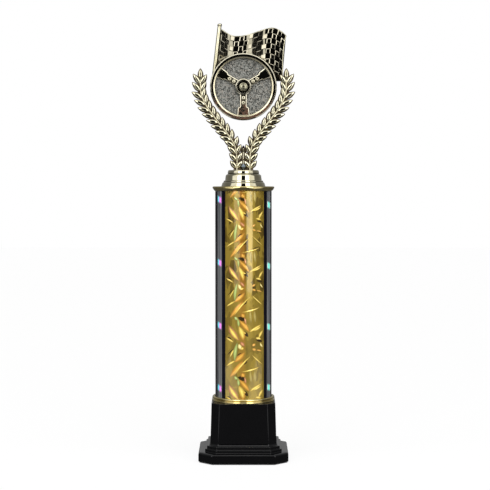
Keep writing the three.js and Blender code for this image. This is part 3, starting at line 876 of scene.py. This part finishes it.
FLAG_TOP = [
    (-19.1, 379.8), (-11.0, 374.9), (-4.5, 374.1), (4.0, 375.3),
    (14.2, 378.3), (25.5, 380.9), (33.5, 377.9), (37.7, 374.2),
]
FLAG_TURNS = {"back": (-16.0, -5.5), "forward": (-1.5, 10.0), "level": (17.5, 20.0)}
POLE_TOP_X, POLE_LEAN = -20.8, 0.113
FLAG_COLUMNS, FLAG_ROW, FLAG_BEVEL, FLAG_WIDTH = 14, 4.45, 0.5, 57.0
FLAG_START_Y, FLAG_SLOPE = 5.45, 0.38
FLAG_BOTTOM = box_mm("checkered_flag")[0][2]
flag_top_line = curve_points(FLAG_TOP, 200)[0]


def bend(x, start, end):
    """How far a slope of 1 has carried by x, when the slope comes in smoothly from start to end."""
    share = min(1.0, max(0.0, (x - start) / (end - start)))
    return (end - start) * (share ** 3 - share ** 4 / 2) + max(0.0, x - end)


def flag_depth(x):
    """The cloth's middle: away from the viewer off the pole, level, nearer again, then level."""
    back, forward, level = (bend(x, *FLAG_TURNS[key]) for key in ("back", "forward", "level"))
    return FLAG_START_Y + FLAG_SLOPE * (x - FLAG_TOP[0][0] - back - forward + level)


def top_edge(u):
    """The point (x, z) of the cloth's top edge at the share u along it."""
    shares = np.linspace(0, 1, len(flag_top_line))
    return [np.interp(u, shares, column) for column in flag_top_line.T]


def flag_surface(u, drop, out):
    """A point of the cloth, u along its top edge and drop down it, out in front of its middle."""
    x0, z0 = top_edge(u)
    x = x0 + (1 - u) * (-drop * POLE_LEAN) + u * (-3.4 * (1 - math.exp(-drop / 11)))
    slope = (flag_depth(x + 0.05) - flag_depth(x - 0.05)) / 0.1
    scale = out / math.hypot(1, slope)
    return (x + slope * scale, flag_depth(x) - scale, z0 - drop)


def flag_cloth():
    """A thin waved sheet whose first edge carries on a little way under the pole."""
    across, down = 90, 16
    loops = []
    for i in range(across + 1):
        u = i / across
        fall = top_edge(u)[1] - FLAG_BOTTOM - 0.1
        front = [flag_surface(u, fall * j / down, 0.3) for j in range(down + 1)]
        back = [flag_surface(u, fall * j / down, -0.3) for j in range(down, -1, -1)]
        loops.append(front + back)
    held = [(x - 1.5, y, z) for x, y, z in loops[0]]
    return skin([held, *loops])


def flag_tile(column, row, face):
    """A raised square on the front (face 1) or back (face -1), with wide, gently sloped edges."""
    width = 1.0 / FLAG_COLUMNS
    margin = 0.1 / FLAG_WIDTH
    u0, u1 = column * width + margin, (column + 1) * width - margin
    d0, d1 = row * FLAG_ROW + 0.1, (row + 1) * FLAG_ROW - 0.1
    steps = 4
    loops = []
    for shrink, out in ((0.0, 0.2), (0.0, 0.38), (FLAG_BEVEL, 0.38 + 0.32 * FLAG_BEVEL)):
        du = shrink / FLAG_WIDTH
        left, right, top, bottom = u0 + du, u1 - du, d0 + shrink, d1 - shrink
        corners = [(left, top), (right, top), (right, bottom), (left, bottom)]
        loop = []
        for k in range(4):
            (ua, da), (ub, db) = corners[k], corners[(k + 1) % 4]
            for s in range(steps):
                t = s / steps
                loop.append(flag_surface(ua + (ub - ua) * t, da + (db - da) * t, face * out))
        loops.append(loop)
    return skin(loops)


def flag_tiles():
    tiles = []
    for column in range(FLAG_COLUMNS):
        top = top_edge((column + 0.5) / FLAG_COLUMNS)[1]
        rows = int((top - FLAG_BOTTOM - 0.4) / FLAG_ROW)
        for row in range(rows):
            if (column + row) % 2 == 0:
                tiles.append(flag_tile(column, row, 1))
                tiles.append(flag_tile(column, row, -1))
    return merged(tiles)


def flag_hem():
    """A thin rolled edge along the cloth's top and down its free side."""
    turns = round_angles(10)
    r = 0.5
    top = [flag_surface(u, 0.0, 0.0) for u in np.linspace(0, 1, 91)]
    fall = flag_top_line[-1][1] - FLAG_BOTTOM - 0.3
    side = [flag_surface(1.0, drop, 0.0) for drop in np.linspace(0, fall, 31)]
    return merged([
        skin([[(x, y + r * math.cos(t), z + r * math.sin(t)) for t in turns] for x, y, z in top]),
        skin([[(x + r * math.cos(t), y + r * math.sin(t), z) for t in turns] for x, y, z in side]),
    ])


def pole_shape():
    """A leaning staff with a small cap, as rings of (radius, distance along from the top)."""
    low, high = POLE_LOW[2] + 0.3, POLE_HIGH[2]
    centre_y = (POLE_LOW[1] + POLE_HIGH[1]) / 2
    profile = rounded([
        (0.05, 0.0), (1.3, -0.15), (2.05, -0.9), (2.1, -1.7), (1.75, -2.3), (1.8, -8.0),
        (1.9, low - high),
    ], 0.5, 4)
    turns = round_angles(32)
    loops = []
    for r, along in profile:
        x = POLE_TOP_X + along * POLE_LEAN
        loops.append([(x + r * math.cos(t), centre_y + r * math.sin(t), high + along) for t in turns])
    return skin(loops)


piece("flag_cloth", flag_cloth(), "ground", "topper", "relief", "checkered_flag")
piece("flag_squares", flag_tiles(), "flag", "topper", "relief", sharp=8)
piece("flag_edge", flag_hem(), "champagne", "topper", "relief")
piece("flag_staff", pole_shape(), "champagne", "topper", "pale_gold", "flag_pole")


# ---------------- steering wheel

CENTRE = (0.0, WHEEL_Z)
RIM_INNER = WHEEL_RADIUS - 4.1
ARM_NECK, HUB_RADIUS = 2.8, 6.9
BOLTS = [f"spoke_bolt_{number}" for number in range(1, 7)]


def rim_shape():
    """A level crown with a sloped outer edge, between inner radius i and outer radius o."""
    i, o = RIM_INNER, WHEEL_RADIUS
    profile = rounded([
        (i + 0.1, 0.1), (i + 0.1, -4.0), (i + 1.1, -4.0), (i + 1.15, -4.8), (o - 0.85, -4.8),
        (o - 0.1, -4.38), (o, -4.2), (o, 0.1),
    ], 0.1, 3, ring=True)
    return revolved(profile, 192, True, CENTRE)


def rim_band_shape():
    """The softer, shallow slope inside the rim's crown."""
    i = RIM_INNER
    profile = [(i, -3.6), (i, -4.15), (i + 0.1, -4.22), (i + 1.1, -4.5), (i + 1.1, -3.6)]
    return revolved(profile, 192, True, CENTRE)


def arm_outline(pad_width):
    """One side of an arm, as (distance from the hub's middle, distance from the arm's middle)."""
    end = WHEEL_RADIUS - 3.6
    half = pad_width / 2
    return [
        (16.6, ARM_NECK), (17.4, ARM_NECK + 0.1), (18.4, half * 0.84), (22.0, half * 0.92),
        (math.sqrt(end * end - half * half), half),
    ]


def spokes_outline():
    """Three arms out of a round hub."""
    outline = []
    reach = math.asin(ARM_NECK / HUB_RADIUS)
    for degrees, pad_width in ((30, 9.6), (150, 9.6), (270, 11.0)):
        turn = math.radians(degrees)
        c, s = math.cos(turn), math.sin(turn)
        arm = arm_outline(pad_width)
        outline += [(far * c + off * s, far * s - off * c) for far, off in arm]
        outline += [(far * c - off * s, far * s + off * c) for far, off in arm[::-1]]
        for share in np.linspace(0, 1, 8):
            at = turn + reach + share * (math.radians(120) - 2 * reach)
            outline.append((HUB_RADIUS * math.cos(at), HUB_RADIUS * math.sin(at)))
    return outline


def spokes_piece():
    """The three arms in one plate, with a raised border round a sunk, darker face."""
    front, back = SPOKES_LOW[1], SPOKES_HIGH[1]
    outline = spokes_outline()
    work = bmesh.new()
    ring = [work.verts.new((x * MM, back * MM, (z + WHEEL_Z) * MM)) for x, z in outline]
    face = work.faces.new(ring)
    moved = bmesh.ops.extrude_face_region(work, geom=[face])
    tops = [v for v in moved["geom"] if isinstance(v, bmesh.types.BMVert)]
    for v in tops:
        v.co.y = front * MM
    front_face = next(f for f in moved["geom"] if isinstance(f, bmesh.types.BMFace))
    bmesh.ops.recalc_face_normals(work, faces=work.faces)
    bmesh.ops.inset_region(work, faces=[front_face], thickness=0.7 * MM, depth=0.2 * MM)
    bmesh.ops.inset_region(work, faces=[front_face], thickness=0.15 * MM, depth=-0.7 * MM)
    mesh = bpy.data.meshes.new("spoke_plate")
    work.to_mesh(mesh)
    work.free()
    made = placed("spoke_plate", mesh, "wheel", "topper", ["wheel_spokes"], 30)
    bevel = made.modifiers.new("edges", "BEVEL")
    bevel.width = 0.12 * MM
    bevel.segments = 2
    bevel.limit_method = "ANGLE"
    even_shading(made)


def turned_box(node):
    """Front, back, radius and centre (x, z) of a round CAD node that faces forward."""
    low, high = box_mm(node)
    return low[1], high[1], (high[0] - low[0]) / 2, ((low[0] + high[0]) / 2, (low[2] + high[2]) / 2)


def disc_shape(node):
    """A round plate with a softened front edge."""
    front, back, r, _ = turned_box(node)
    face = front + 0.05
    profile = [(0.0, face), (r * 0.5, face), (r * 0.9, face), (r - 0.3, face)]
    return revolved([*profile, (r, front + 0.35), (r, back), (0.0, back)], 128, True, CENTRE)


def hub_shape():
    """A ring with a sloped outer edge and a level front."""
    front, back, r, _ = turned_box("hub_ring")
    profile = rounded([
        (r + 0.25, back), (r + 0.25, front + 0.5), (r + 0.15, front + 0.36), (r - 0.65, front),
        (r - 1.3, front), (r - 1.4, front + 0.1), (r - 1.4, back),
    ], 0.1, 3, ring=True)
    return revolved(profile, 96, True, CENTRE)


def button_shape():
    """A low dome with a dimple in its middle and a groove round it."""
    front, back, _, _ = turned_box("horn_button")
    profile = rounded([
        (0.0, front + 0.5), (0.5, front + 0.5), (0.9, front + 0.1), (1.3, front + 0.1),
        (2.4, front + 0.35), (2.5, front + 0.6), (2.7, front + 0.6), (2.8, front + 0.4),
        (3.6, front + 0.7), (3.8, front + 1.1), (3.8, back), (0.0, back),
    ], 0.1, 3)
    return revolved(profile, 64, True, CENTRE)


def bolt_shape(node):
    """A round head, slightly dimpled."""
    front, back, r, middle = turned_box(node)
    profile = rounded([
        (0.0, front + 0.2), (0.5, front + 0.15), (0.7, front), (1.3, front + 0.1),
        (r - 0.1, front + 0.45), (r, back), (0.0, back),
    ], 0.15, 3)
    return revolved(profile, 32, True, middle)


def sockets_shape():
    """Small dots sunk in the bolt heads and the button, made dark with the recess plating's painted
    shade.
    """
    parts = []
    for node, r, sunk in [("horn_button", 0.6, 0.45), *((bolt, 0.55, 0.1) for bolt in BOLTS)]:
        front, _, _, middle = turned_box(node)
        face, foot = front + sunk, front + 1.0
        parts.append(revolved([(0.0, face), (r, face), (r, foot), (0.0, foot)], 20, True, middle))
    return merged(parts)


piece("rim_relief", rim_shape(), "wheel", "topper", "relief", "wheel_rim")
piece("rim_band", rim_band_shape(), "satin", "topper", "relief")
spokes_piece()
# The backplate, seen through the wheel, takes the recess plating's painted shade.
piece("wheel_back", disc_shape("wheel_backplate"), "edge", "topper", "relief", "wheel_backplate")
piece("grit_disc", disc_shape("insert_disc"), "grit", "topper", "glitter", "insert_disc")
piece("hub_cup", hub_shape(), "wheel", "topper", "relief", "hub_ring")
piece("button_cap", button_shape(), "button", "topper", "relief", "horn_button")
piece("socket_dots", sockets_shape(), "edge", "topper", "relief")
for number, bolt in enumerate(BOLTS, start=1):
    piece(f"bolt_head_{number}", bolt_shape(bolt), "cast", "topper", "relief", bolt)


# ---------------- carried-over CAD nodes

CARRIED = {
    "board": ["bottom_plate"],
    "cement": ["base_weight"],
    "steel": ["lower_washer", "lower_nut", "tie_rod", "upper_washer", "upper_nut"],
    "tube": ["column_tube"],
    "brass": ["insert_nut"],
}
for finish, nodes in CARRIED.items():
    for node in nodes:
        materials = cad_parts[node].data.materials
        materials.clear()
        materials.append(finishes[finish])


# ---------------- floor, lights and camera

def make_floor():
    """Pale to the camera, and dark in reflections."""
    reach = 4.0
    corners = [(-reach, -reach, 0), (reach, -reach, 0), (reach, reach, 0), (-reach, reach, 0)]
    mesh = bpy.data.meshes.new("floor")
    mesh.from_pydata(corners, [], [(0, 1, 2, 3)])
    made, graph, shader = material(
        "floor_white", Base_Color=(0.08, 0.08, 0.08, 1), Emission_Color=(1, 1, 1, 1),
        Roughness=0.8, Specular_IOR_Level=0.1,
    )
    path = graph.node("ShaderNodeLightPath")
    graph.shade(shader, Emission_Strength=graph.times(path.outputs["Is Camera Ray"], 0.88))
    mesh.materials.append(made)
    new_object("floor", mesh)


def soft_light(name, place, facing, width, length, radiance):
    """A rectangular light. Width is across its facing direction."""
    data = bpy.data.lights.new(name, "AREA")
    data.shape = "RECTANGLE"
    data.size, data.size_y = width, length
    data.energy = radiance * math.pi * width * length
    light = new_object(name, data)
    light.location = place
    light.rotation_euler = facing
    light.visible_camera = False


def softbox(name, azimuth, distance, width, low, high, radiance):
    """An upright light that faces the trophy. Azimuth 0 is straight in front."""
    turn = math.radians(azimuth)
    place = Vector((math.sin(turn) * distance, -math.cos(turn) * distance, (low + high) / 2))
    facing = Vector((-place.x, -place.y, 0)).to_track_quat("-Z", "Y").to_euler()
    soft_light(name, place, facing, width, high - low, radiance)


def floor_panel(name, left, right, near, far, radiance):
    """A light that lies on the floor in front and shines up."""
    place = ((left + right) / 2, -(near + far) / 2, 0.004)
    soft_light(name, place, (math.pi, 0, 0), right - left, far - near, radiance)


def make_world():
    """White where the camera looks past the trophy. Reflections see a studio that is dark in
    front, dim at the sides and pale behind. In the front half it also has bright wings to each
    side, one low and narrow and one higher up, and a brighter crown overhead."""
    world = bpy.data.worlds.new("studio")
    bpy.context.scene.world = world
    world.use_nodes = True
    graph = Graph(world.node_tree)
    x, y, z = graph.split(graph.node("ShaderNodeTexCoord").outputs["Generated"])
    angle = graph.math("ARCTAN2", x, graph.times(y, -1.0))
    azimuth = graph.math("ABSOLUTE", graph.math("DEGREES", angle))
    height = graph.math("DEGREES", graph.math("ARCSINE", z))

    def band(value, start, full, falling, end):
        """1 from full to falling, and 0 before start and after end."""
        return graph.times(graph.step(value, start, full), graph.step(value, end, falling))

    flank = graph.mix(graph.step(height, 2.0, 9.0), (0.05, 0.05, 0.05), (0.30, 0.30, 0.30))
    sides = graph.mix(graph.step(azimuth, 55.0, 80.0), (0.010, 0.010, 0.010), flank)
    rear = graph.mix(graph.step(height, -2.0, 6.0), (0.03, 0.03, 0.03), (0.38, 0.38, 0.38))
    studio = graph.mix(graph.step(azimuth, 100.0, 140.0), sides, rear)
    fading = graph.between(graph.step(height, 1.6, 1.0), 0.5, 1.0)
    low_wing = graph.times(band(height, -0.35, -0.1, 4.1, 4.6), fading)
    wings = graph.math("MAXIMUM", low_wing, band(height, 7.0, 10.0, 55.0, 75.0))
    wings = graph.times(wings, band(azimuth, 11.0, 14.0, 70.0, 80.0))
    studio = graph.mix(wings, studio, (2.0, 2.0, 2.0))
    crown = graph.times(band(height, 37.0, 41.0, 76.0, 82.0), graph.step(azimuth, 80.0, 60.0))
    studio = graph.mix(crown, studio, (3.0, 3.0, 3.0))
    path = graph.node("ShaderNodeLightPath")
    colour = graph.mix(path.outputs["Is Camera Ray"], studio, (1, 1, 1))
    graph.feed(world.node_tree.nodes["Background"].inputs["Color"], colour)


def make_camera():
    """Level with the column's lid, a long lens looking slightly down."""
    eye = Vector((0.0014, -1.282, 0.2469))
    aim = Vector((0.0014, 0.0, 0.1892))
    view_width = 0.4348
    data = bpy.data.cameras.new("camera")
    data.sensor_width = 36.0
    data.lens = data.sensor_width * (aim - eye).length / view_width
    camera = new_object("camera", data)
    camera.location = eye
    camera.rotation_euler = (aim - eye).to_track_quat("-Z", "Y").to_euler()
    bpy.context.scene.camera = camera


bpy.context.scene.view_settings.view_transform = "Standard"
make_floor()
make_world()
softbox("softbox_left_low", -26, 1.3, 0.55, 0.05, 0.225, 1.6)
softbox("softbox_left", -26, 1.3, 0.55, 0.225, 1.25, 4.0)
softbox("softbox_right", 25, 1.3, 0.55, 0.05, 1.25, 4.0)
floor_panel("floor_panel_left", -0.62, -0.14, 0.10, 0.44, 1.3)
floor_panel("floor_panel_right", 0.14, 0.62, 0.10, 0.44, 1.3)
make_camera()
